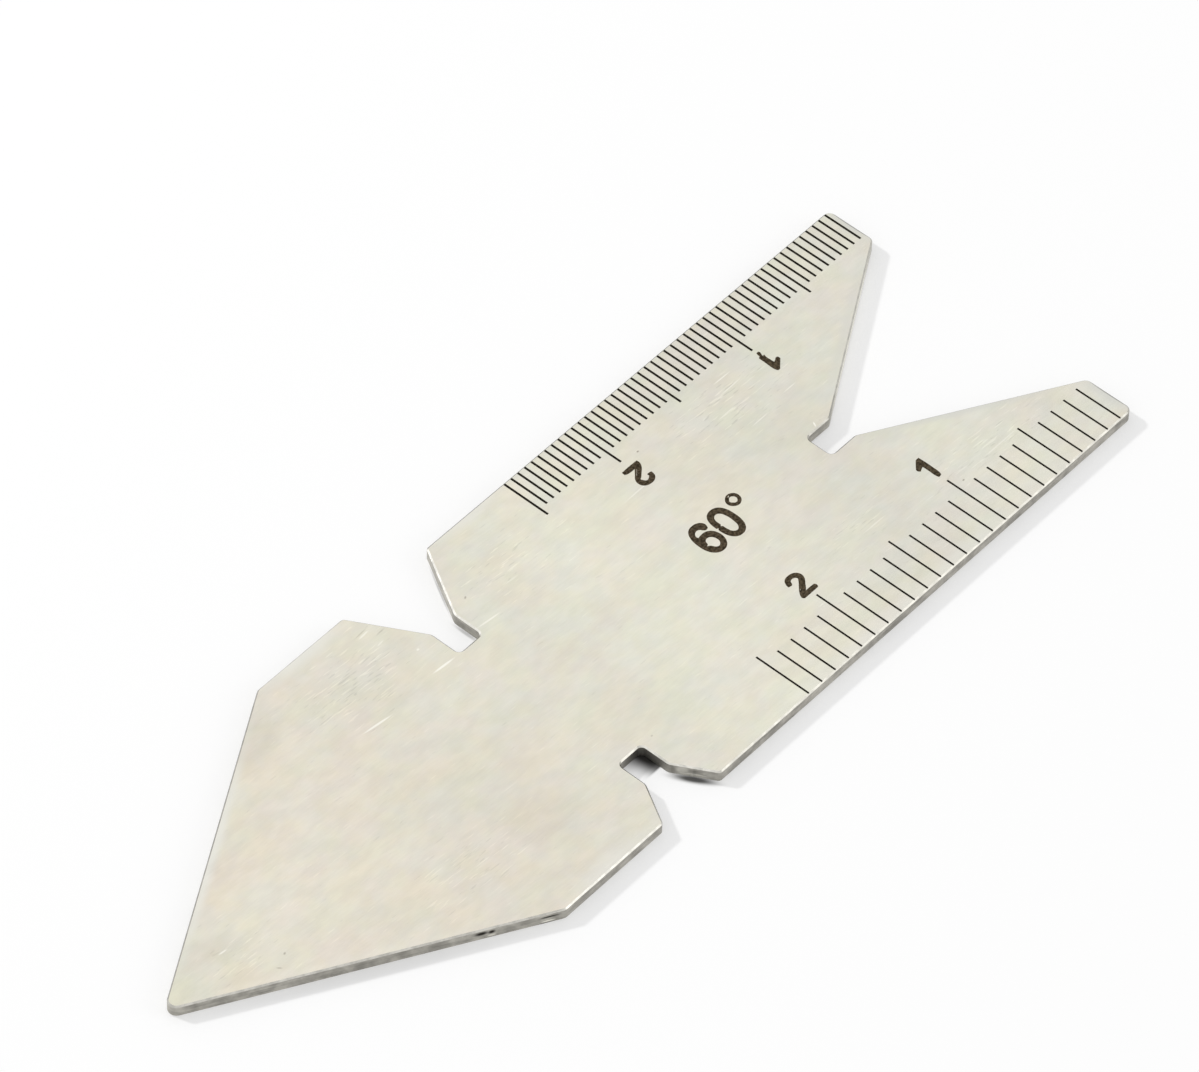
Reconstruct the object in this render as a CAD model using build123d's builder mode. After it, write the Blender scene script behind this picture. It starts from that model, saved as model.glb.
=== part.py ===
from build123d import *
from math import radians, sin, tan
import os

# A center gauge is one flat stainless steel plate. One end is a 60 degree point and the other
# a fork with a 60 degree V. Each long edge has a 60 degree notch and an engraved scale.
# X runs along the plate from the point to the fork, Y across it, and Z up from the back face
# to the engraved one. The origin is at the middle of the back. All sizes are in millimetres.

# Plate
overall_length = 59.5      # from the rounded tip of the point to the ends of the prongs
plate_width = 19.85
plate_thickness = 0.75
included_angle = 60.0      # the point, the fork and both notches
edge_break = 0.08          # bevel all round both faces

# Corners seen from above
tip_radius = 0.45          # tip of the point
shoulder_radius = 0.5      # where the long edges meet the point
prong_radius = 0.4         # both corners at the end of each prong
mouth_radius = 0.25        # where a notch opens into a long edge
neck_radius = 0.5          # where a V runs into its relief slot
relief_radius = 0.3        # bottom corners of a relief slot

# Fork
fork_mouth = 14.0          # opening between the prongs
fork_relief_width = 1.65
fork_relief_depth = 12.5   # from the ends of the prongs

# Notches, on one line across the plate
notch_distance = 9.13      # from the shoulders
notch_relief_width = 1.65
wide_notch_mouth = 6.1
wide_notch_depth = 5.65    # to the bottom of its relief slot
narrow_notch_mouth = 4.2
narrow_notch_depth = 3.95

# Scales. Both count from a zero that lies just outside the ends of the prongs.
zero_overhang = 0.08
scale_reach = 25.0         # last mark
mark_depth = 0.03
fine_pitch = 0.5           # scale along the wide notch's edge
fine_mark_width = 0.11
fine_mark_length = 2.45
fine_five_length = 2.95
fine_ten_length = 3.35
coarse_pitch = 1.0         # scale along the narrow notch's edge
coarse_mark_width = 0.09
coarse_mark_length = 2.9
coarse_five_length = 3.4
coarse_ten_length = 3.8
cut_overrun = 1.0          # how far a cut starts outside the edge that it opens

# Values that follow from the sizes above
half_angle = radians(included_angle / 2)
prong_end_x = overall_length / 2
tip_x = -overall_length / 2
edge_y = plate_width / 2
sharp_tip_x = tip_x - tip_radius * (1 / sin(half_angle) - 1)
shoulder_x = sharp_tip_x + edge_y / tan(half_angle)
notch_x = shoulder_x + notch_distance
scale_zero_x = prong_end_x + zero_overhang


# The space of a V and its relief slot. The mouth lies on the X axis and the root points to -Y.
def relieved_vee(mouth, relief_width, relief_depth):
    sharp_depth = mouth / 2 / tan(half_angle)
    neck_depth = sharp_depth - relief_width / 2 / tan(half_angle)
    outer_mouth = mouth + 2 * cut_overrun * tan(half_angle)
    with BuildSketch() as space:
        with BuildLine():
            Polyline(
                (-outer_mouth / 2, cut_overrun),
                (-relief_width / 2, -neck_depth),
                (-relief_width / 2, -relief_depth),
                (relief_width / 2, -relief_depth),
                (relief_width / 2, -neck_depth),
                (outer_mouth / 2, cut_overrun),
                close=True,
            )
        make_face()
        fillet(space.vertices().group_by(Axis.Y)[1], neck_radius)
        fillet(space.vertices().group_by(Axis.Y)[0], relief_radius)
    return space.sketch


# Marks along one long edge, as bars that cross the edge. Side is 1 for +Y and -1 for -Y.
def scale_marks(side, pitch, width, length, five_length, ten_length):
    with BuildSketch(Plane.XY.offset(plate_thickness)) as marks:
        for index in range(1, round(scale_reach / pitch) + 1):
            value = index * pitch
            if value % 10 == 0:
                reach = ten_length
            elif value % 5 == 0:
                reach = five_length
            else:
                reach = length
            bar_y = side * (edge_y + (cut_overrun - reach) / 2)
            with Locations((scale_zero_x - value, bar_y)):
                Rectangle(width, reach + cut_overrun)
    return marks.sketch


fork_space = relieved_vee(fork_mouth, fork_relief_width, fork_relief_depth)
wide_notch_space = relieved_vee(wide_notch_mouth, notch_relief_width, wide_notch_depth)
narrow_notch_space = relieved_vee(narrow_notch_mouth, notch_relief_width, narrow_notch_depth)

# Outline of the plate: the pointed blank less the fork and the two notches
with BuildSketch() as outline:
    with BuildLine():
        Polyline(
            (sharp_tip_x, 0),
            (shoulder_x, -edge_y),
            (prong_end_x, -edge_y),
            (prong_end_x, edge_y),
            (shoulder_x, edge_y),
            close=True,
        )
    make_face()
    with Locations(Location((prong_end_x, 0, 0), (0, 0, -90))):
        add(fork_space, mode=Mode.SUBTRACT)
    with Locations(Location((notch_x, edge_y, 0), (0, 0, 0))):
        add(wide_notch_space, mode=Mode.SUBTRACT)
    with Locations(Location((notch_x, -edge_y, 0), (0, 0, 180))):
        add(narrow_notch_space, mode=Mode.SUBTRACT)

    # The corners along a long edge are its shoulder, the notch's two and the prong's outer one
    for edge in (0, -1):
        edge_corners = outline.vertices().group_by(Axis.Y)[edge].sort_by(Axis.X)
        fillet(edge_corners[1:3], mouth_radius)
        shoulder = outline.vertices().group_by(Axis.Y)[edge].sort_by(Axis.X)[0]
        fillet(shoulder, shoulder_radius)
    fillet(outline.vertices().group_by(Axis.X)[-1], prong_radius)
    fillet(outline.vertices().group_by(Axis.X)[0], tip_radius)

# The plate, with its edges broken round both faces and the scales engraved in the upper one
with BuildPart() as gauge_plate:
    add(outline.sketch)
    extrude(amount=plate_thickness)
    rims = gauge_plate.edges() - gauge_plate.edges().filter_by(Axis.Z)
    chamfer(rims, edge_break)
    add(
        scale_marks(
            1, fine_pitch, fine_mark_width, fine_mark_length, fine_five_length, fine_ten_length
        )
    )
    add(
        scale_marks(
            -1,
            coarse_pitch,
            coarse_mark_width,
            coarse_mark_length,
            coarse_five_length,
            coarse_ten_length,
        )
    )
    extrude(amount=-mark_depth, mode=Mode.SUBTRACT)

os.makedirs("parts", exist_ok=True)
gauge_plate.part.label = "gauge_plate"
export_step(gauge_plate.part, "parts/gauge_plate.step")
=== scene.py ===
import math

import bmesh
import bpy
from mathutils import Matrix, Vector


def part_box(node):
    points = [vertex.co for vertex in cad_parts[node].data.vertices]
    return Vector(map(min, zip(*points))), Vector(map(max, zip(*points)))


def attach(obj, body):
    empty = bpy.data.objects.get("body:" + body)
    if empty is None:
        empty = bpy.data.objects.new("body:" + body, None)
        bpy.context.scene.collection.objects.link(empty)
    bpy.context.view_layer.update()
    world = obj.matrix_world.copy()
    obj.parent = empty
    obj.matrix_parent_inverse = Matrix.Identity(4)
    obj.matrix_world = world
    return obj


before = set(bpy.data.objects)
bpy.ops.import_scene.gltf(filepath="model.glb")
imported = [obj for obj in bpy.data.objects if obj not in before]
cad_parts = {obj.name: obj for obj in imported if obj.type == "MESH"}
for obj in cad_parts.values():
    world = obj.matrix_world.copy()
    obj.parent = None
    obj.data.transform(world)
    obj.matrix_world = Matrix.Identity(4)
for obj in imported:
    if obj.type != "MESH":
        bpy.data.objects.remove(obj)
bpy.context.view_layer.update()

mm = 0.001
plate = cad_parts["gauge_plate"]
plateLow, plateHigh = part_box("gauge_plate")
faceHeight = plateHigh.z


# helpers for node trees

def addNode(tree, kind, across, down, **settings):
    node = tree.nodes.new(kind)
    node.location = (across * 200, -down * 170)
    for name, value in settings.items():
        setattr(node, name, value)
    return node


def feed(tree, socket, value):
    # a socket takes either another node's output or a plain value
    if isinstance(value, bpy.types.NodeSocket):
        tree.links.new(value, socket)
    else:
        socket.default_value = value


def calculate(tree, across, down, operation, first, second=0.0, third=0.0):
    node = addNode(tree, "ShaderNodeMath", across, down, operation=operation)
    feed(tree, node.inputs[0], first)
    feed(tree, node.inputs[1], second)
    feed(tree, node.inputs[2], third)
    return node.outputs[0]


def vectorMath(tree, across, down, operation, first, second=(0, 0, 0)):
    node = addNode(tree, "ShaderNodeVectorMath", across, down, operation=operation)
    feed(tree, node.inputs[0], first)
    feed(tree, node.inputs[1], second)
    return node.outputs["Value" if operation == "LENGTH" else "Vector"]


def spread(tree, across, down, value, fromLow, fromHigh, toLow=0.0, toHigh=1.0, smooth=False):
    node = addNode(tree, "ShaderNodeMapRange", across, down)
    node.interpolation_type = "SMOOTHSTEP" if smooth else "LINEAR"
    feed(tree, node.inputs["Value"], value)
    feed(tree, node.inputs["From Min"], fromLow)
    feed(tree, node.inputs["From Max"], fromHigh)
    feed(tree, node.inputs["To Min"], toLow)
    feed(tree, node.inputs["To Max"], toHigh)
    return node.outputs["Result"]


def blendColour(tree, across, down, mask, first, second, mode="MIX"):
    node = addNode(tree, "ShaderNodeMix", across, down, data_type="RGBA", blend_type=mode)
    feed(tree, node.inputs[0], mask)
    feed(tree, node.inputs[6], first)
    feed(tree, node.inputs[7], second)
    return node.outputs[2]


def blendFloat(tree, across, down, mask, first, second):
    node = addNode(tree, "ShaderNodeMix", across, down, data_type="FLOAT")
    feed(tree, node.inputs[0], mask)
    feed(tree, node.inputs[2], first)
    feed(tree, node.inputs[3], second)
    return node.outputs[0]


def startGroup(name, inputs, outputs):
    group = bpy.data.node_groups.new(name, "ShaderNodeTree")
    for title, kind, value in inputs:
        socket = group.interface.new_socket(name=title, in_out="INPUT", socket_type=kind)
        if value is not None:
            socket.default_value = value
    for title, kind in outputs:
        group.interface.new_socket(name=title, in_out="OUTPUT", socket_type=kind)
    ends = addNode(group, "NodeGroupInput", 0, 0), addNode(group, "NodeGroupOutput", 12, 0)
    return group, ends[0], ends[1]


def placeGroup(tree, group, across, down, **values):
    node = addNode(tree, "ShaderNodeGroup", across, down)
    node.node_tree = group
    for title, value in values.items():
        feed(tree, node.inputs[title], value)
    return node


noiseRange = (0.3, 0.7)                     # most of the noise lies between these
streakRoughness = 0.6
patchRoughness = 0.55
glintBlur = 0.08


# Fine streaks left by grinding. They are long along the first axis and narrow along the others.
def makeGrindingGroup():
    group, given, result = startGroup(
        "grindingStreaks",
        [
            ("Vector", "NodeSocketVector", None),
            ("Spacing", "NodeSocketVector", (1.0, 0.1, 0.1)),
            ("Detail", "NodeSocketFloat", 2.0),
            ("GlintLevel", "NodeSocketFloat", 0.66),
        ],
        [("Streaks", "NodeSocketFloat"), ("Glints", "NodeSocketFloat")],
    )
    scaled = vectorMath(group, 1, 0, "DIVIDE", given.outputs["Vector"], given.outputs["Spacing"])
    noise = addNode(group, "ShaderNodeTexNoise", 2, 0)
    feed(group, noise.inputs["Vector"], scaled)
    feed(group, noise.inputs["Scale"], 1.0)
    feed(group, noise.inputs["Detail"], given.outputs["Detail"])
    feed(group, noise.inputs["Roughness"], streakRoughness)
    streaks = spread(group, 4, 0, noise.outputs["Fac"], *noiseRange, -1.0, 1.0)
    edge = calculate(group, 4, 2, "ADD", given.outputs["GlintLevel"], glintBlur)
    glints = spread(
        group, 6, 2, noise.outputs["Fac"], given.outputs["GlintLevel"], edge, smooth=True
    )
    group.links.new(streaks, result.inputs["Streaks"])
    group.links.new(glints, result.inputs["Glints"])
    return group


# Soft cloudy patches between 0 and 1
def makePatchGroup():
    group, given, result = startGroup(
        "cloudyPatches",
        [
            ("Vector", "NodeSocketVector", None),
            ("Size", "NodeSocketFloat", 1.0),
            ("Detail", "NodeSocketFloat", 2.0),
        ],
        [("Patches", "NodeSocketFloat")],
    )
    frequency = calculate(group, 1, 1, "DIVIDE", 1.0, given.outputs["Size"])
    noise = addNode(group, "ShaderNodeTexNoise", 2, 0)
    feed(group, noise.inputs["Vector"], given.outputs["Vector"])
    feed(group, noise.inputs["Scale"], frequency)
    feed(group, noise.inputs["Detail"], given.outputs["Detail"])
    feed(group, noise.inputs["Roughness"], patchRoughness)
    patches = spread(group, 4, 0, noise.outputs["Fac"], *noiseRange, smooth=True)
    group.links.new(patches, result.inputs["Patches"])
    return group


# One soft-edged mark: a scratch when it is long and thin, a speck or smudge when it is round
def makeMarkGroup():
    group, given, result = startGroup(
        "singleMark",
        [
            ("Vector", "NodeSocketVector", None),
            ("Centre", "NodeSocketVector", (0.0, 0.0, 0.0)),
            ("Angle", "NodeSocketFloat", 0.0),
            ("Reach", "NodeSocketVector", (1.0, 0.1, 1.0)),
            ("Softness", "NodeSocketFloat", 0.6),
            ("Strength", "NodeSocketFloat", 1.0),
        ],
        [("Mask", "NodeSocketFloat")],
    )
    moved = vectorMath(group, 1, 0, "SUBTRACT", given.outputs["Vector"], given.outputs["Centre"])
    turned = addNode(group, "ShaderNodeVectorRotate", 2, 0, rotation_type="Z_AXIS")
    feed(group, turned.inputs["Vector"], moved)
    feed(group, turned.inputs["Angle"], given.outputs["Angle"])
    scaled = vectorMath(group, 4, 0, "DIVIDE", turned.outputs["Vector"], given.outputs["Reach"])
    away = vectorMath(group, 5, 0, "LENGTH", scaled)
    inner = calculate(group, 5, 2, "SUBTRACT", 1.0, given.outputs["Softness"])
    mask = spread(group, 7, 0, away, inner, 1.0, given.outputs["Strength"], 0.0, smooth=True)
    group.links.new(mask, result.inputs["Mask"])
    return group


grindingStreaks = makeGrindingGroup()
cloudyPatches = makePatchGroup()
singleMark = makeMarkGroup()
print("shared node groups made")

# ground steel of the plate

steel = {
    "wall": (0.585, 0.565, 0.510, 1),
    "wallDark": (0.265, 0.255, 0.228, 1),
    # painted shade on the walls inside the narrow slot
    "slotWallShade": (0.24, 0.23, 0.205, 1),
    "bevel": (0.50, 0.485, 0.44, 1),
    # painted highlights on the broken edge
    "bevelSideHighlight": (0.70, 0.685, 0.63, 1),
    "bevelPointHighlight": (0.56, 0.545, 0.50, 1),
    "bevelPaintedHighlight": (0.86, 0.84, 0.78, 1),
    # painted shade on the broken edge and on the rims of the prongs' ends
    "bevelPaintedShade": (0.15, 0.145, 0.13, 1),
    # light scratches on the face, and painted highlights on the walls
    "scratchAndGlint": (0.90, 0.88, 0.80, 1),
    "darkMark": (0.30, 0.27, 0.22, 1),
    "stain": (0.020, 0.017, 0.013, 1),
    "rimPale": (0.760, 0.750, 0.692, 1),
    "rimCool": (0.640, 0.640, 0.600, 1),
    "pinkTint": (1.016, 0.988, 0.980, 1),
    "greenTint": (0.984, 1.006, 0.994, 1),
    "strawTint": (1.004, 1.003, 0.968, 1),
    "blueTint": (0.996, 0.997, 1.030, 1),
    "roughness": 0.40,
    "bevelRoughness": 0.26,
    "wallRoughness": 0.52,
    "grainAngle": -2.5,                     # degrees from the plate's length
    "grainSpacing": (0.9, 0.13, 0.13),      # mm, along the grain, across it and through it
    "dashSpacing": (1.25, 0.125, 0.125),
    "nickSpacing": (0.8, 0.12, 0.12),
    "wallSpacing": (1.6, 1.6, 0.07),
    "bumpDepth": 0.003,                     # mm
    "roughSpread": 0.06,
    "largePatch": 4.0,                      # mm
    "smallPatch": 0.7,
    "tintPatch": 1.7,
    "warmPatch": 1.5,
    "wallPatch": 0.8,
    "bevelPatch": 0.45,
    "cloudBase": 0.972,                     # tone of the face where no patch lightens it
    "largeCloud": 0.033,
    "smallCloud": 0.046,
    "streakDepth": 0.017,
    "dashLevel": (0.665, 0.57),             # where dashes are rare and where they crowd
    "nickLevel": (0.69, 0.59),
    "dashDepth": (0.08, 0.12),              # of dashes and nicks alike
    "wallBase": 0.18,
    "wallCloud": 0.62,
    "wallStreak": 0.22,
    "bevelUneven": (0.84, 1.12),
    "dashShift": (31.0, 17.0, 5.0),         # mm, so that no two noises repeat each other
    "nickShift": (-11.0, 43.0, 9.0),
    "warmShift": (7.0, -23.0, 3.0),
    "cloudStretch": (0.5, 1.0, 1.0),
    "tintStretch": (0.7, 1.0, 1.3),
    "pointPart": (-6.5, -5.0),              # mm along the plate
}

# How surfaces are told apart by where they face: ranges of the normal's upward, X or far part
facings = {
    "wall": (0.2, 0.5),
    "face": (0.8, 0.95),
    "front": (0.0, 0.5),
    "side": (-0.1, -0.6),
    "far": (0.12, 0.48),
    "farShares": (0.6, 0.8),                # of the normal's X and Y in its far part
}

# How the face's tone wanders from the point to the fork: place in mm along the plate and colour
faceTones = [
    (-28, (0.684, 0.658, 0.560, 1)),
    (-24, (0.732, 0.691, 0.594, 1)),
    (-18, (0.719, 0.680, 0.589, 1)),
    (-10, (0.706, 0.672, 0.584, 1)),
    (-4.5, (0.723, 0.700, 0.610, 1)),
    (-1, (0.709, 0.690, 0.602, 1)),
    (4, (0.744, 0.723, 0.626, 1)),
    (17, (0.683, 0.666, 0.587, 1)),
    (23, (0.716, 0.700, 0.613, 1)),
    (28, (0.699, 0.682, 0.603, 1)),
]
toneHalf = 30.0                             # mm from the middle to either end of their ramp

throughPlate = 1000.0                       # mm, takes in the whole thickness
besideWall = 0.4                            # mm to either side of a wall

# Marks of use on the face: centre in mm, angle in degrees, half length, half width and strength
lightMarks = [
    ((-10.7, 4.2), -7, 1.15, 0.08, 0.9),
    ((-5.8, 4.3), -4, 0.90, 0.085, 1.0),
    ((-2.2, 4.6), -6, 0.95, 0.07, 0.7),
    ((0.5, 5.5), -4, 0.55, 0.06, 0.35),
    ((-25.8, 0.3), -7, 0.34, 0.06, 0.9),
    ((-5.9, 5.9), 0, 0.11, 0.08, 0.7),
    ((17.4, 6.5), -1, 0.80, 0.05, 0.65),
    ((17.3, 5.8), 1, 0.95, 0.05, 0.55),
    ((15.8, 4.8), 1, 0.85, 0.05, 0.45),
    ((19.2, 3.6), 0, 0.60, 0.05, 0.5),
    ((16.6, 3.3), 1, 0.80, 0.05, 0.5),
    ((9.2, 4.7), 1, 1.60, 0.06, 0.5),
    ((15.2, -5.3), -1, 1.05, 0.05, 0.45),
    ((23.4, -6.5), 0, 1.60, 0.05, 0.45),
    ((18.2, 1.1), 63, 0.22, 0.06, 1.0),
    ((-7.0, 8.46), 4, 0.50, 0.07, 0.6),
    ((-6.84, 7.51), 6, 0.32, 0.06, 0.5),
]
darkMarks = [
    ((-15.5, 7.8), 25, 2.60, 1.60, 0.15),
    ((-9.5, -5.6), 0, 2.80, 2.20, 0.09),
    ((-25.8, 0.7), -30, 1.70, 1.20, 0.09),
    ((-22.4, 4.0), 20, 0.80, 0.40, 0.10),
    ((-1.9, 6.4), 30, 0.14, 0.07, 0.65),
    ((-23.9, -1.9), 20, 0.12, 0.08, 0.6),
    ((-24.7, -2.3), -50, 0.20, 0.06, 0.5),
    ((-2.3, -6.0), 0, 0.10, 0.07, 0.4),
    ((10.9, 6.4), 0, 0.10, 0.07, 0.9),
    ((20.4, -6.7), 0, 0.10, 0.07, 0.8),
    ((-7.05, 8.62), 4, 0.60, 0.06, 0.30),
    ((-6.3, 8.0), 2, 0.40, 0.06, 0.25),
]

# Marks on the walls: centre in mm, angle, half length along the wall, half height and strength
wallStains = [
    ((-16.64, -7.82, 0.49), -30, 0.52, 0.20, 1.0),
    ((-16.20, -8.08, 0.46), -30, 0.28, 0.19, 1.0),
    ((-13.7, -9.5, 0.50), -30, 0.80, 0.09, 1.0),
    ((-13.9, -9.4, 0.09), -30, 0.60, 0.05, 0.9),
    ((-2.42, -8.82, 0.40), -60, 0.14, 0.40, 0.25),
    ((-2.95, -7.90, 0.40), -60, 0.20, 0.50, 0.25),
]
# Painted highlights on the walls, with the same columns
wallGlints = [
    ((-16.20, -8.08, 0.22), -30, 0.28, 0.09, 0.6),
    ((-13.75, -9.5, 0.21), -30, 0.45, 0.06, 1.0),
    ((-2.72, -8.30, 0.42), -60, 0.42, 0.35, 0.40),
    ((-2.10, -9.38, 0.35), -60, 0.36, 0.30, 0.25),
    ((-2.42, -8.82, 0.14), -60, 1.10, 0.24, 0.90),
    ((24.4, 3.9, 0.35), 30, 7.50, 1.20, 0.85),
    ((-1.9, 8.0, 0.35), 60, 2.80, 1.20, 0.20),
]

# Where painted shade darkens the walls inside the narrow slot, in mm
slotWallShadeMark = {"centre": (-3.4, -6.7, 0.0), "reach": (1.6, 1.9, throughPlate), "softness": 0.7}

# Paler and cooler bands of the face beside its edges
paleRims = [
    ((-21.3, 5.0), 30, 11.0, 0.55, 0.9),
    ((-10.0, 9.8), 0, 4.00, 0.90, 0.9),
    ((2.2, 9.8), 0, 3.60, 0.65, 0.7),
    ((13.0, -9.8), 0, 18.0, 0.90, 0.5),
    ((-21.4, -5.0), -30, 10.5, 0.70, 0.25),
    ((-9.5, -9.9), 0, 4.20, 1.20, 0.7),
]
coolRims = [
    ((29.8, 8.4), 90, 2.20, 0.80, 0.9),
    ((29.8, -8.4), 90, 2.20, 0.80, 0.9),
    ((23.7, -3.6), -30, 7.00, 0.50, 0.7),
    ((23.7, 3.8), 30, 7.00, 0.50, 0.5),
]

# Lengths of the broken edge with a painted highlight, with painted shade and without the painted shade
# of the far sides, and painted shade on the rims of the prongs' ends
highlightedEdges = [
    ((-1.8, 7.6), 68, 3.6, 1.3, 0.8),
    ((-3.1, 4.4), 50, 0.60, 0.40, 0.9),
]
shadedEdges = [((20.0, 0.8), 0, 4.0, 1.0, 0.35)]
unshadedEdges = [
    ((-10.0, 9.9), 0, 3.4, 0.8, 1.0),
    ((-3.2, 4.35), 30, 0.60, 0.35, 1.0),
]
prongRimShade = [
    ((29.70, 8.45), 90, 1.60, 0.09, 0.65),
    ((29.70, -8.45), 90, 1.60, 0.09, 0.65),
]

# Where light dashes and dark nicks crowd: centre in mm, angle, reach along and across, strength
dashAreas = [
    ((16.5, 5.2), 0, 6.5, 2.6, 1.0),
    ((-9.5, 6.8), 0, 6.0, 3.2, 1.0),
    ((1.0, 6.5), 0, 5.5, 2.6, 0.8),
    ((23.5, -6.0), 0, 6.5, 2.2, 0.8),
    ((14.5, -5.0), 0, 4.5, 1.8, 0.7),
    ((-14.0, -5.0), -5, 6.0, 2.4, 0.8),
    ((-25.5, -0.5), 0, 3.5, 2.0, 0.8),
]


def addMarks(tree, spot, marks, across, down, softness=0.6):
    total = 0.0
    for index, (centre, angle, halfLength, halfWidth, strength) in enumerate(marks):
        if len(centre) == 2:
            centre = (centre[0], centre[1], 0.0)
            reach = (halfLength, halfWidth, throughPlate)
        else:
            reach = (halfLength, besideWall, halfWidth)
        mark = placeGroup(
            tree,
            singleMark,
            across,
            down + index * 2,
            Vector=spot,
            Centre=centre,
            Angle=math.radians(-angle),
            Reach=reach,
            Softness=softness,
            Strength=strength,
        )
        total = calculate(tree, across + 1, down + index * 2, "MAXIMUM", total, mark.outputs[0])
    return total


def makeFaceTone(tree, spot):
    along = addNode(tree, "ShaderNodeSeparateXYZ", 2, 14)
    feed(tree, along.inputs[0], spot)
    tone = addNode(tree, "ShaderNodeValToRGB", 4, 14)
    ramp = tone.color_ramp
    while len(ramp.elements) < len(faceTones):
        ramp.elements.new(0.5)
    for element, (x, colour) in zip(ramp.elements, faceTones):
        element.position = (x + toneHalf) / (2 * toneHalf)
        element.color = colour
    feed(tree, tone.inputs[0], spread(tree, 3, 14, along.outputs["X"], -toneHalf, toneHalf))
    return tone.outputs[0]


def makeSteel():
    material = bpy.data.materials.new("groundSteel")
    material.use_nodes = True
    tree = material.node_tree
    shader = tree.nodes["Principled BSDF"]
    shader.location = (4400, 0)
    tree.nodes["Material Output"].location = (4700, 0)
    place = addNode(tree, "ShaderNodeTexCoord", 0, 0)
    spot = vectorMath(tree, 1, 0, "SCALE", place.outputs["Object"])
    spot.node.inputs["Scale"].default_value = 1 / mm
    turned = addNode(tree, "ShaderNodeVectorRotate", 2, 0, rotation_type="Z_AXIS")
    feed(tree, turned.inputs["Vector"], spot)
    turned.inputs["Angle"].default_value = math.radians(-steel["grainAngle"])
    grain = turned.outputs[0]

    # which surface this is: the flat faces, the broken edges or the walls
    facing = addNode(tree, "ShaderNodeSeparateXYZ", 1, 3)
    feed(tree, facing.inputs[0], place.outputs["Normal"])
    upright = calculate(tree, 2, 3, "ABSOLUTE", facing.outputs["Z"])
    isWall = spread(tree, 3, 3, upright, *facings["wall"], 1.0, 0.0)
    isFace = spread(tree, 3, 4, upright, *facings["face"])

    # light dashes and dark nicks lie close together in some places and are rarer in the rest
    crowded = addMarks(tree, spot, dashAreas, 4, 60, softness=0.9)
    dashLevel = spread(tree, 6, 60, crowded, 0.0, 1.0, *steel["dashLevel"])
    nickLevel = spread(tree, 6, 61, crowded, 0.0, 1.0, *steel["nickLevel"])
    streaks = placeGroup(tree, grindingStreaks, 7, 6, Vector=grain, Spacing=steel["grainSpacing"])
    wall = placeGroup(tree, grindingStreaks, 7, 8, Vector=spot, Spacing=steel["wallSpacing"])
    dashes = placeGroup(
        tree,
        grindingStreaks,
        7,
        9,
        Vector=vectorMath(tree, 6, 9, "ADD", grain, steel["dashShift"]),
        Spacing=steel["dashSpacing"],
        Detail=1.5,
        GlintLevel=dashLevel,
    )
    nicks = placeGroup(
        tree,
        grindingStreaks,
        7,
        11,
        Vector=vectorMath(tree, 6, 11, "ADD", grain, steel["nickShift"]),
        Spacing=steel["nickSpacing"],
        Detail=1.5,
        GlintLevel=nickLevel,
    )
    drawnOut = vectorMath(tree, 6, 12, "MULTIPLY", grain, steel["cloudStretch"])
    large = placeGroup(tree, cloudyPatches, 7, 12, Vector=drawnOut, Size=steel["largePatch"], Detail=1.0)
    small = placeGroup(tree, cloudyPatches, 7, 13, Vector=drawnOut, Size=steel["smallPatch"], Detail=2.0)
    tinted = placeGroup(
        tree,
        cloudyPatches,
        7,
        15,
        Vector=vectorMath(tree, 6, 15, "MULTIPLY", grain, steel["tintStretch"]),
        Size=steel["tintPatch"],
        Detail=3.0,
    )
    warmed = placeGroup(
        tree,
        cloudyPatches,
        7,
        17,
        Vector=vectorMath(tree, 6, 17, "ADD", grain, steel["warmShift"]),
        Size=steel["warmPatch"],
        Detail=3.0,
    )

    cloud = steel["cloudBase"]
    cloud = calculate(tree, 8, 10, "MULTIPLY_ADD", large.outputs[0], steel["largeCloud"], cloud)
    cloud = calculate(tree, 9, 10, "MULTIPLY_ADD", small.outputs[0], steel["smallCloud"], cloud)
    fine = streaks.outputs["Streaks"]
    cloud = calculate(tree, 10, 10, "MULTIPLY_ADD", fine, steel["streakDepth"], cloud)
    depth = spread(tree, 8, 60, crowded, 0.0, 1.0, *steel["dashDepth"])
    glints = calculate(tree, 10, 11, "MULTIPLY", dashes.outputs["Glints"], depth)
    cloud = calculate(tree, 11, 10, "ADD", cloud, glints)
    scores = calculate(tree, 11, 11, "MULTIPLY", nicks.outputs["Glints"], depth)
    cloud = calculate(tree, 12, 10, "SUBTRACT", cloud, scores)
    shade = addNode(tree, "ShaderNodeCombineColor", 13, 10)
    for channel in range(3):
        feed(tree, shade.inputs[channel], cloud)
    faceColour = makeFaceTone(tree, spot)
    faceColour = blendColour(tree, 14, 10, 1.0, faceColour, shade.outputs[0], "MULTIPLY")
    tint = blendColour(tree, 14, 12, tinted.outputs[0], steel["pinkTint"], steel["greenTint"])
    faceColour = blendColour(tree, 15, 10, 1.0, faceColour, tint, "MULTIPLY")
    tint = blendColour(tree, 14, 14, warmed.outputs[0], steel["strawTint"], steel["blueTint"])
    faceColour = blendColour(tree, 15, 12, 1.0, faceColour, tint, "MULTIPLY")
    pale = addMarks(tree, spot, paleRims, 12, 90, softness=0.9)
    faceColour = blendColour(tree, 16, 9, pale, faceColour, steel["rimPale"])
    cool = addMarks(tree, spot, coolRims, 14, 90, softness=0.9)
    faceColour = blendColour(tree, 16, 11, cool, faceColour, steel["rimCool"])
    front = spread(tree, 4, 89, facing.outputs["Z"], *facings["front"])
    scratched = calculate(tree, 15, 9, "MULTIPLY", addMarks(tree, spot, lightMarks, 6, 90), front)
    faceColour = blendColour(tree, 16, 10, scratched, faceColour, steel["scratchAndGlint"])
    specks = addMarks(tree, spot, darkMarks, 8, 90, softness=0.8)
    specks = calculate(tree, 15, 11, "MULTIPLY", specks, front)
    faceColour = blendColour(tree, 17, 10, specks, faceColour, steel["darkMark"])
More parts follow.
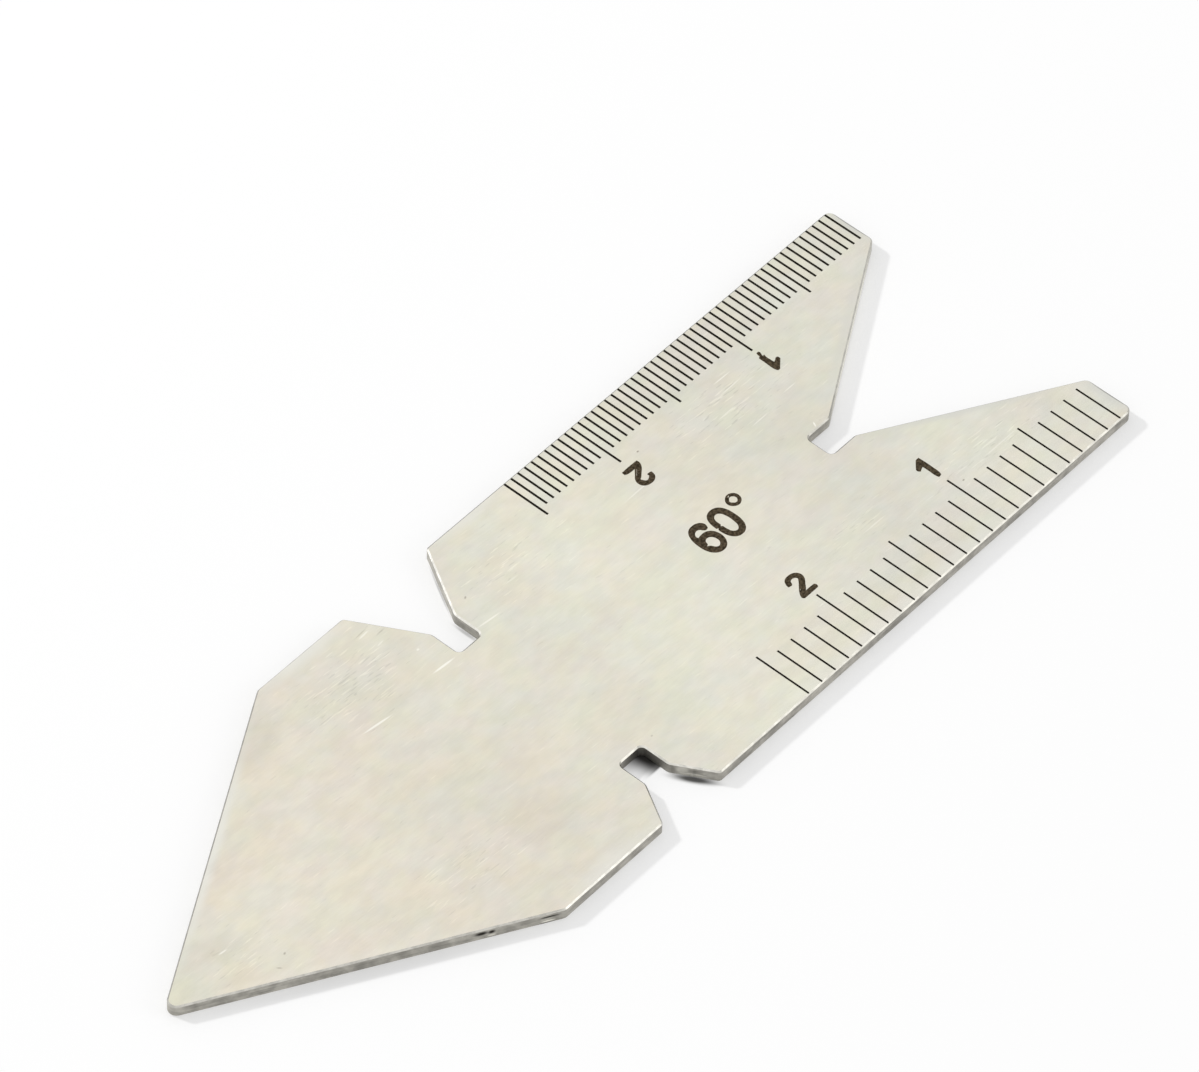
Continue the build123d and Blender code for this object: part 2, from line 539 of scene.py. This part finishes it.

    # the walls are darker and rougher than the face, streaked along their length and cloudy
    clouds = placeGroup(tree, cloudyPatches, 4, 17, Vector=spot, Size=steel["wallPatch"], Detail=3.0)
    wallTone = steel["wallBase"]
    along = wall.outputs["Streaks"]
    wallTone = calculate(tree, 6, 17, "MULTIPLY_ADD", along, steel["wallStreak"], wallTone)
    wallTone = calculate(tree, 7, 17, "MULTIPLY_ADD", clouds.outputs[0], steel["wallCloud"], wallTone)
    wallColour = blendColour(tree, 12, 17, wallTone, steel["wallDark"], steel["wall"])
    # painted shade darkens the walls inside the narrow slot
    slotShadeMask = placeGroup(
        tree,
        singleMark,
        9,
        19,
        Vector=spot,
        Centre=slotWallShadeMark["centre"],
        Reach=slotWallShadeMark["reach"],
        Softness=slotWallShadeMark["softness"],
    )
    wallColour = blendColour(tree, 13, 17, slotShadeMask.outputs[0], wallColour, steel["slotWallShade"])
    # painted highlights on the walls
    glinting = addMarks(tree, spot, wallGlints, 10, 40)
    wallColour = blendColour(tree, 14, 17, glinting, wallColour, steel["scratchAndGlint"])
    stained = addMarks(tree, spot, wallStains, 12, 40, softness=0.8)
    wallColour = blendColour(tree, 15, 17, stained, wallColour, steel["stain"])

    # painted highlights and shade on the broken edge: a painted highlight towards the point, on the
    # edges that face -X and at the listed lengths, painted shade along the edges that face +X and +Y, at
    # the listed lengths and on the prongs' ends, all made patchy at random
    across = addNode(tree, "ShaderNodeSeparateXYZ", 9, 15)
    feed(tree, across.inputs[0], spot)
    nearPoint = spread(tree, 10, 15, across.outputs["X"], *steel["pointPart"], 1.0, 0.0)
    sideways = spread(tree, 10, 20, facing.outputs["X"], *facings["side"])
    bevel = blendColour(tree, 11, 20, sideways, steel["bevel"], steel["bevelSideHighlight"])
    bevel = blendColour(tree, 12, 20, nearPoint, bevel, steel["bevelPointHighlight"])
    # painted highlight on the listed lengths of the broken edge
    edgeHighlight = addMarks(tree, spot, highlightedEdges, 10, 110, softness=0.5)
    bevel = blendColour(tree, 13, 20, edgeHighlight, bevel, steel["bevelPaintedHighlight"])
    # painted shade on the broken edges that face +X and +Y
    shareX, shareY = facings["farShares"]
    backwards = calculate(tree, 10, 23, "MULTIPLY", facing.outputs["X"], shareX)
    backwards = calculate(tree, 11, 23, "MULTIPLY_ADD", facing.outputs["Y"], shareY, backwards)
    backwards = spread(tree, 12, 23, backwards, *facings["far"])
    unshaded = addMarks(tree, spot, unshadedEdges, 10, 114, softness=0.3)
    backwards = calculate(tree, 13, 23, "SUBTRACT", backwards, unshaded)
    edgeShade = addMarks(tree, spot, shadedEdges, 10, 118, softness=0.3)
    backwards = calculate(tree, 14, 23, "MAXIMUM", backwards, edgeShade)
    bevel = blendColour(tree, 15, 20, backwards, bevel, steel["bevelPaintedShade"])
    uneven = placeGroup(
        tree, cloudyPatches, 13, 26, Vector=spot, Size=steel["bevelPatch"], Detail=2.0
    )
    uneven = spread(tree, 14, 26, uneven.outputs[0], 0.0, 1.0, *steel["bevelUneven"])
    patchyBevel = addNode(tree, "ShaderNodeCombineColor", 15, 26)
    for channel in range(3):
        feed(tree, patchyBevel.inputs[channel], uneven)
    bevel = blendColour(tree, 16, 20, 1.0, bevel, patchyBevel.outputs[0], "MULTIPLY")
    colour = blendColour(tree, 17, 8, isFace, bevel, faceColour)
    # painted shade on the rims of the prongs' ends
    rimShade = addMarks(tree, spot, prongRimShade, 14, 114, softness=0.4)
    colour = blendColour(tree, 18, 8, rimShade, colour, steel["bevelPaintedShade"])
    colour = blendColour(tree, 19, 8, isWall, colour, wallColour)
    feed(tree, shader.inputs["Base Color"], colour)
    shader.inputs["Metallic"].default_value = 1.0

    rough = steel["roughness"]
    rough = calculate(tree, 13, 4, "MULTIPLY_ADD", small.outputs[0], steel["roughSpread"], rough)
    rough = spread(tree, 14, 4, isFace, 0.0, 1.0, steel["bevelRoughness"], rough)
    rough = spread(tree, 15, 4, isWall, 0.0, 1.0, rough, steel["wallRoughness"])
    feed(tree, shader.inputs["Roughness"], rough)

    relief = blendFloat(tree, 13, 2, isWall, streaks.outputs["Streaks"], wall.outputs["Streaks"])
    bump = addNode(tree, "ShaderNodeBump", 15, 2)
    bump.inputs["Distance"].default_value = steel["bumpDepth"] * mm
    feed(tree, bump.inputs["Height"], relief)
    feed(tree, shader.inputs["Normal"], bump.outputs[0])
    return material


groundSteel = makeSteel()
for index in range(len(plate.data.materials)):
    plate.data.materials[index] = groundSteel
if not plate.data.materials:
    plate.data.materials.append(groundSteel)
print("ground steel on the plate")

# black of the marks and numerals

ink = {
    "dark": (0.026, 0.019, 0.010, 1),
    "pale": (0.105, 0.080, 0.050, 1),
    "markDark": (0.006, 0.005, 0.003, 1),
    "markPale": (0.022, 0.019, 0.013, 1),
    "patchSize": 0.13,                      # mm
    "markPatchSize": 0.3,
    "bumpDepth": 0.002,
    "roughness": 0.65,
    "roughSpread": 0.15,
    "specular": 0.06,
}


def makeInk(name, dark, pale, patchSize):
    material = bpy.data.materials.new(name)
    material.use_nodes = True
    tree = material.node_tree
    shader = tree.nodes["Principled BSDF"]
    shader.location = (1400, 0)
    tree.nodes["Material Output"].location = (1700, 0)
    place = addNode(tree, "ShaderNodeTexCoord", 0, 0)
    spot = vectorMath(tree, 1, 0, "SCALE", place.outputs["Object"])
    spot.node.inputs["Scale"].default_value = 1 / mm
    patches = placeGroup(tree, cloudyPatches, 2, 0, Vector=spot, Size=patchSize, Detail=2.0)
    feed(tree, shader.inputs["Base Color"], blendColour(tree, 4, 0, patches.outputs[0], dark, pale))
    rough = ink["roughness"]
    rough = calculate(tree, 4, 2, "MULTIPLY_ADD", patches.outputs[0], ink["roughSpread"], rough)
    feed(tree, shader.inputs["Roughness"], rough)
    shader.inputs["Specular IOR Level"].default_value = ink["specular"]
    bump = addNode(tree, "ShaderNodeBump", 5, 3)
    bump.inputs["Distance"].default_value = ink["bumpDepth"] * mm
    feed(tree, bump.inputs["Height"], patches.outputs[0])
    feed(tree, shader.inputs["Normal"], bump.outputs[0])
    return material


numeralInk = makeInk("numeralInk", ink["dark"], ink["pale"], ink["patchSize"])
markInk = makeInk("markInk", ink["markDark"], ink["markPale"], ink["markPatchSize"])

# black fill of the scale marks

# The scales are in millimetres from a zero just outside the ends of the prongs. The fill starts
# 0.008 mm under the floor of its groove, ends 0.002 mm over the face and reaches over the rims.
scales = {
    "zero": 29.83,
    "reach": 25.0,
    "edge": 9.925,
    "edgeBreak": 0.08,
    "top": 0.752,
    "bottom": 0.712,
    "overRim": 0.010,
    "ontoBevel": 0.004,
}
fineScale = {"side": 1, "pitch": 0.5, "width": 0.11, "length": 2.45, "five": 2.95, "ten": 3.35}
coarseScale = {"side": -1, "pitch": 1.0, "width": 0.09, "length": 2.9, "five": 3.4, "ten": 3.8}


def addBar(mesh, lowX, highX, lowY, highY, lowZ, highZ):
    corners = [(lowX, lowY), (highX, lowY), (highX, highY), (lowX, highY)]
    below = [mesh.verts.new((x * mm, y * mm, lowZ * mm)) for x, y in corners]
    above = [mesh.verts.new((x * mm, y * mm, highZ * mm)) for x, y in corners]
    mesh.faces.new(above)
    mesh.faces.new(below[::-1])
    for index in range(4):
        after = (index + 1) % 4
        mesh.faces.new((below[index], below[after], above[after], above[index]))


def makeScaleFill(name, scale):
    mesh = bmesh.new()
    for index in range(1, round(scales["reach"] / scale["pitch"]) + 1):
        value = index * scale["pitch"]
        if value % 10 == 0:
            length = scale["ten"]
        elif value % 5 == 0:
            length = scale["five"]
        else:
            length = scale["length"]
        x = scales["zero"] - value
        half = scale["width"] / 2 + scales["overRim"]
        inner = scale["side"] * (scales["edge"] - length - scales["overRim"])
        outer = scale["side"] * (scales["edge"] - scales["edgeBreak"] + scales["ontoBevel"])
        lowY, highY = sorted((inner, outer))
        addBar(mesh, x - half, x + half, lowY, highY, scales["bottom"], scales["top"])
    bmesh.ops.recalc_face_normals(mesh, faces=mesh.faces)
    data = bpy.data.meshes.new(name)
    mesh.to_mesh(data)
    mesh.free()
    fill = bpy.data.objects.new(name, data)
    bpy.context.scene.collection.objects.link(fill)
    data.materials.append(markInk)
    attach(fill, "root")


makeScaleFill("fineScaleFill", fineScale)
makeScaleFill("coarseScaleFill", coarseScale)
print("scale marks filled")

# numerals

# Each numeral is a flat figure of closed outlines in millimetres on the face. The first outline
# is its outside and the others are its openings and the small places where the ink is missing.
# A point with a third value is a sharp corner.
numerals = {
    "height": 0.006,                        # mm above the face
    "sunk": 0.010,                          # mm inside it
    "spread": 0.012,                        # mm that the ink runs out beyond its drawn outline
    "inward": -0.7,                         # share of that by which an opening closes
    "curveSteps": 6,
    "weld": 0.0005,                         # mm
}

lowerOne = [
    [
        (19.79, -4.14, 1), (19.99, -4.13, 1), (20.005, -4.50), (20.0, -5.10), (19.985, -5.45),
        (19.93, -5.64, 1), (19.74, -5.68, 1), (19.70, -5.50), (19.705, -5.00), (19.70, -4.66, 1),
        (19.54, -4.70), (19.40, -4.78, 1), (19.31, -4.66), (19.32, -4.55, 1), (19.50, -4.385),
    ],
]
upperOne = [
    [
        (19.72, 4.77, 1), (19.84, 4.76, 1), (20.10, 4.975), (20.39, 5.21, 1), (20.385, 5.36, 1),
        (20.30, 5.39), (20.13, 5.31), (19.99, 5.26, 1), (19.975, 5.50), (19.985, 5.86),
        (20.03, 5.94, 1), (19.90, 5.95, 1), (19.95, 6.09), (20.00, 6.20, 1), (19.97, 6.29, 1),
        (19.84, 6.29, 1), (19.80, 6.15), (19.79, 6.05), (19.74, 6.02), (19.67, 5.98, 1),
        (19.665, 5.60), (19.665, 4.90),
    ],
]
lowerTwo = [
    [
        (9.26, -4.81, 1), (9.28, -4.70), (9.33, -4.56), (9.42, -4.43), (9.56, -4.35),
        (9.75, -4.325), (9.97, -4.345), (10.13, -4.42), (10.26, -4.56), (10.315, -4.74),
        (10.27, -4.93), (10.17, -5.08), (9.97, -5.275), (9.76, -5.49), (9.68, -5.57, 1),
        (9.95, -5.57), (10.27, -5.585, 1), (10.325, -5.70), (10.27, -5.84, 1), (9.80, -5.84),
        (9.28, -5.84, 1), (9.21, -5.74), (9.25, -5.60), (9.36, -5.44), (9.52, -5.27),
        (9.73, -5.08), (9.94, -4.87), (10.01, -4.77), (9.97, -4.67), (9.87, -4.60),
        (9.75, -4.58), (9.64, -4.61), (9.575, -4.68), (9.53, -4.79), (9.46, -4.845, 1),
    ],
    [(9.50, -5.37), (9.53, -5.33), (9.58, -5.30), (9.55, -5.35)],
]
upperTwo = [
    [
        (9.32, 6.045, 1), (9.65, 6.055), (10.05, 6.055), (10.41, 6.045, 1), (10.42, 5.92),
        (10.38, 5.77), (10.23, 5.565), (9.98, 5.36), (9.75, 5.18), (9.62, 5.09), (9.655, 4.98),
        (9.70, 4.89), (9.78, 4.82), (9.90, 4.82), (10.03, 4.89), (10.11, 4.97), (10.10, 5.05),
        (10.19, 5.075), (10.37, 5.04, 1), (10.35, 4.90), (10.29, 4.74), (10.17, 4.63),
        (10.0, 4.565), (9.83, 4.555), (9.65, 4.585), (9.50, 4.66), (9.39, 4.79), (9.345, 4.94),
        (9.355, 5.11), (9.44, 5.28), (9.65, 5.48), (9.87, 5.685), (9.94, 5.765, 1),
        (9.70, 5.77), (9.45, 5.80), (9.31, 5.87, 1),
    ],
    [(9.66, 5.40), (9.83, 5.545), (9.99, 5.69), (10.0, 5.67), (9.85, 5.53), (9.68, 5.39)],
]
six = [
    [
        (9.56, 0.84), (9.48, 1.04), (9.27, 1.19), (9.01, 1.23), (8.76, 1.19), (8.55, 1.04),
        (8.39, 0.76), (8.30, 0.38), (8.285, 0.0), (8.335, -0.36), (8.49, -0.66), (8.72, -0.845),
        (8.99, -0.90), (9.26, -0.83), (9.49, -0.60), (9.61, -0.22), (9.58, 0.06), (9.49, 0.28),
        (9.35, 0.42), (9.17, 0.51), (8.97, 0.53), (8.77, 0.51), (8.66, 0.49, 1), (8.635, 0.62),
        (8.72, 0.78), (8.85, 0.86), (9.01, 0.87), (9.14, 0.79), (9.21, 0.67), (9.34, 0.58),
        (9.48, 0.60, 1),
    ],
    [
        (8.97, 0.19), (9.15, 0.10), (9.255, -0.10), (9.255, -0.35), (9.15, -0.51), (8.99, -0.575),
        (8.83, -0.49), (8.71, -0.28), (8.55, -0.16, 1), (8.67, -0.09), (8.73, 0.08), (8.83, 0.165),
    ],
]
zero = [
    [
        (10.38, 1.23), (10.64, 1.18), (10.83, 1.05), (11.0, 0.74), (11.065, 0.28), (11.035, -0.22),
        (10.89, -0.62), (10.64, -0.85), (10.38, -0.90), (10.12, -0.84), (9.88, -0.60),
        (9.75, -0.17), (9.74, 0.11, 1), (9.83, 0.18, 1), (9.725, 0.25, 1), (9.79, 0.74),
        (9.95, 1.05), (10.14, 1.18),
    ],
    [
        (10.38, 0.87), (10.58, 0.77), (10.69, 0.50), (10.695, -0.12), (10.62, -0.40),
        (10.40, -0.57), (10.17, -0.44), (10.08, -0.12), (10.07, 0.12, 1), (9.98, 0.19, 1),
        (10.07, 0.27, 1), (10.09, 0.64), (10.19, 0.80),
    ],
]
degree = [
    [
        (11.72, 1.28), (11.96, 1.20), (12.10, 1.03), (12.125, 0.86), (12.06, 0.65), (11.90, 0.51),
        (11.70, 0.46), (11.50, 0.53), (11.35, 0.68), (11.30, 0.86), (11.34, 1.03), (11.50, 1.20),
    ],
    [
        (11.71, 1.10), (11.86, 1.04), (11.94, 0.88), (11.90, 0.74), (11.71, 0.64), (11.56, 0.74),
        (11.48, 0.88), (11.56, 1.01),
    ],
    [(11.64, 1.15), (11.72, 1.21), (11.77, 1.19), (11.70, 1.14)],
]


# Moves each point of a closed outline out by a distance, or in where the distance is negative
def spreadOutline(outline, distance):
    count = len(outline)
    area = sum(
        outline[index][0] * outline[(index + 1) % count][1]
        - outline[(index + 1) % count][0] * outline[index][1]
        for index in range(count)
    )
    turn = distance if area > 0 else -distance
    moved = []
    for index, point in enumerate(outline):
        before = outline[index - 1]
        after = outline[(index + 1) % count]
        along = Vector((after[0] - before[0], after[1] - before[1])).normalized()
        moved.append((point[0] + along.y * turn, point[1] - along.x * turn, *point[2:]))
    return moved


def makeNumeral(name, outlines):
    curve = bpy.data.curves.new(name, "CURVE")
    curve.dimensions = "2D"
    curve.fill_mode = "BOTH"
    curve.resolution_u = numerals["curveSteps"]
    curve.extrude = (numerals["height"] + numerals["sunk"]) / 2 * mm
    for index, outline in enumerate(outlines):
        share = 1 if index == 0 else numerals["inward"]
        outline = spreadOutline(outline, numerals["spread"] * share)
        spline = curve.splines.new("BEZIER")
        spline.bezier_points.add(len(outline) - 1)
        for point, given in zip(spline.bezier_points, outline):
            point.co = (given[0] * mm, given[1] * mm, 0)
            kind = "VECTOR" if len(given) == 3 else "AUTO"
            point.handle_left_type = kind
            point.handle_right_type = kind
        spline.use_cyclic_u = True
    drawn = bpy.data.objects.new(name, curve)
    bpy.context.scene.collection.objects.link(drawn)
    bpy.context.view_layer.update()
    solved = drawn.evaluated_get(bpy.context.evaluated_depsgraph_get())
    data = bpy.data.meshes.new_from_object(solved)
    data.name = name
    bpy.data.objects.remove(drawn)
    middle = faceHeight + (numerals["height"] - numerals["sunk"]) / 2 * mm
    data.transform(Matrix.Translation((0, 0, middle)))
    mesh = bmesh.new()
    mesh.from_mesh(data)
    bmesh.ops.remove_doubles(mesh, verts=mesh.verts, dist=numerals["weld"] * mm)
    bmesh.ops.recalc_face_normals(mesh, faces=mesh.faces)
    mesh.to_mesh(data)
    mesh.free()
    data.materials.clear()
    data.materials.append(numeralInk)
    numeral = bpy.data.objects.new(name, data)
    bpy.context.scene.collection.objects.link(numeral)
    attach(numeral, "root")
    return numeral


for name, outlines in [
    ("lowerOne", lowerOne),
    ("lowerTwo", lowerTwo),
    ("upperOne", upperOne),
    ("upperTwo", upperTwo),
    ("angleSix", six),
    ("angleZero", zero),
    ("angleDegree", degree),
]:
    made = makeNumeral(name, outlines)
    print(name, len(made.data.polygons), "faces")
print("numerals made")

# floor, light and camera

room = {
    "floorColour": (0.985, 0.985, 0.985, 1),
    "shadeColour": (0.045, 0.043, 0.040, 1),
    "floorHalf": 1.5,                       # m
    "floorBelow": 0.00001,
    "floorWhite": 0.40,                     # share of plain white that the floor shows
    "skyLight": 0.71,
}


# Deep shade on the ground inside the narrow slot and under its flank, as marks on the floor, and
# fainter shade at the foot of three other walls. The shade inside the slot stops where the slot
# opens into its notch.
slotSideShade = [((-3.0, -6.0), 0, 1.30, 4.00, 1.0)]
slotEndShade = [((-3.5, -5.85), 0, 1.70, 0.90, 0.36)]
flankShade = [((-2.50, -8.88), -60, 1.75, 0.37, 0.94)]
footShade = [
    ((-3.10, 5.25), 90, 1.15, 0.16, 0.50),
    ((-1.97, 8.00), 60, 2.20, 0.09, 0.45),
    ((-21.55, -5.30), -30, 10.5, 0.62, 0.13),
]
slotMouth = -7.2                            # mm across the plate
mouthBlur = 0.06


def raySeen(tree, across, down):
    ray = addNode(tree, "ShaderNodeLightPath", across, down)
    seen = calculate(
        tree, across + 1, down, "MAXIMUM", ray.outputs["Is Camera Ray"], ray.outputs["Is Glossy Ray"]
    )
    return calculate(tree, across + 2, down, "MAXIMUM", seen, ray.outputs["Is Transmission Ray"])


def makeFloorPaint():
    material = bpy.data.materials.new("paleFloor")
    material.use_nodes = True
    tree = material.node_tree
    shader = tree.nodes["Principled BSDF"]
    shader.inputs["Roughness"].default_value = 0.9
    shader.inputs["Specular IOR Level"].default_value = 0.0
    place = addNode(tree, "ShaderNodeTexCoord", -8, 0)
    spot = vectorMath(tree, -7, 0, "SCALE", place.outputs["Object"])
    spot.node.inputs["Scale"].default_value = 1 / mm
    across = addNode(tree, "ShaderNodeSeparateXYZ", -7, 9)
    feed(tree, across.inputs[0], spot)
    inside = spread(tree, -6, 9, across.outputs["Y"], slotMouth - mouthBlur, slotMouth + mouthBlur)
    shaded = addMarks(tree, spot, slotSideShade, -6, 10, softness=0.85)
    alongEnd = addMarks(tree, spot, slotEndShade, -6, 12, softness=0.9)
    shaded = blendFloat(tree, -5, 10, alongEnd, shaded, 1.0)
    shaded = calculate(tree, -5, 9, "MULTIPLY", shaded, inside)
    besideFlank = addMarks(tree, spot, flankShade, -6, 16, softness=0.8)
    shaded = calculate(tree, -4, 9, "MAXIMUM", shaded, besideFlank)
    atFoot = addMarks(tree, spot, footShade, -6, 18, softness=0.8)
    shaded = calculate(tree, -3, 9, "MAXIMUM", shaded, atFoot)
    paint = blendColour(tree, -4, 0, shaded, room["floorColour"], room["shadeColour"])
    feed(tree, shader.inputs["Base Color"], paint)
    seen = raySeen(tree, -8, 4)
    clear = calculate(tree, -4, 3, "SUBTRACT", 1.0, shaded)
    share = calculate(tree, -3, 4, "MULTIPLY", seen, room["floorWhite"])
    share = calculate(tree, -2, 4, "MULTIPLY", share, clear)
    white = addNode(tree, "ShaderNodeEmission", 0, 3)
    mixed = addNode(tree, "ShaderNodeMixShader", 2, 0)
    feed(tree, mixed.inputs[0], share)
    tree.links.new(shader.outputs[0], mixed.inputs[1])
    tree.links.new(white.outputs[0], mixed.inputs[2])
    tree.links.new(mixed.outputs[0], tree.nodes["Material Output"].inputs["Surface"])
    return material


def makeFloor():
    mesh = bmesh.new()
    half = room["floorHalf"]
    corners = [(-half, -half), (half, -half), (half, half), (-half, half)]
    mesh.faces.new([mesh.verts.new((x, y, plateLow.z - room["floorBelow"])) for x, y in corners])
    data = bpy.data.meshes.new("floor")
    mesh.to_mesh(data)
    mesh.free()
    floor = bpy.data.objects.new("floor", data)
    bpy.context.scene.collection.objects.link(floor)
    data.materials.append(makeFloorPaint())


def makeSky():
    world = bpy.data.worlds.new("studio")
    bpy.context.scene.world = world
    world.use_nodes = True
    tree = world.node_tree
    background = tree.nodes["Background"]
    background.inputs["Color"].default_value = (1, 1, 1, 1)
    seen = raySeen(tree, -6, 0)
    strength = spread(tree, -2, 0, seen, 0.0, 1.0, room["skyLight"], 1.0)
    feed(tree, background.inputs["Strength"], strength)


# Soft round lamps, aimed at the middle of the plate. Level is the lamp's own brightness.
lamps = {
    "key": {"towards": (-0.254, 0.777, 0.576), "away": 1.2, "size": 0.10, "level": 258.0},
    "fill": {"towards": (0.50, -0.76, 0.42), "away": 1.2, "size": 0.7, "level": 1.0},
}


def makeLamp(name, setting):
    light = bpy.data.lights.new(name, "AREA")
    light.shape = "DISK"
    light.size = setting["size"]
    light.energy = setting["level"] * math.pi * math.pi * (setting["size"] / 2) ** 2
    lamp = bpy.data.objects.new(name, light)
    bpy.context.scene.collection.objects.link(lamp)
    towards = Vector(setting["towards"]).normalized()
    lamp.location = towards * setting["away"]
    lamp.rotation_euler = towards.to_track_quat("Z", "Y").to_euler()


# The camera stands 0.4 m away with a long lens, and was fitted to the photograph
photoView = {
    "place": (-0.198259, -0.163455, 0.310478),
    "right": (0.658935, -0.751728, 0.026622),
    "forward": (0.500766, 0.411993, -0.761246),
    "lens": 248.91,
    "sensor": 36.0,
    "near": 0.01,
    "far": 20.0,
}


def makeCamera():
    data = bpy.data.cameras.new("camera")
    data.sensor_fit = "HORIZONTAL"
    data.sensor_width = photoView["sensor"]
    data.lens = photoView["lens"]
    data.clip_start = photoView["near"]
    data.clip_end = photoView["far"]
    camera = bpy.data.objects.new("camera", data)
    bpy.context.scene.collection.objects.link(camera)
    right = Vector(photoView["right"]).normalized()
    back = -Vector(photoView["forward"]).normalized()
    up = back.cross(right)
    turn = Matrix((right, up, back)).transposed().to_4x4()
    camera.matrix_world = Matrix.Translation(photoView["place"]) @ turn
    bpy.context.scene.camera = camera


makeFloor()
makeSky()
for name, setting in lamps.items():
    makeLamp(name, setting)
makeCamera()
bpy.context.scene.view_settings.view_transform = "Standard"
print("floor, light and camera made")
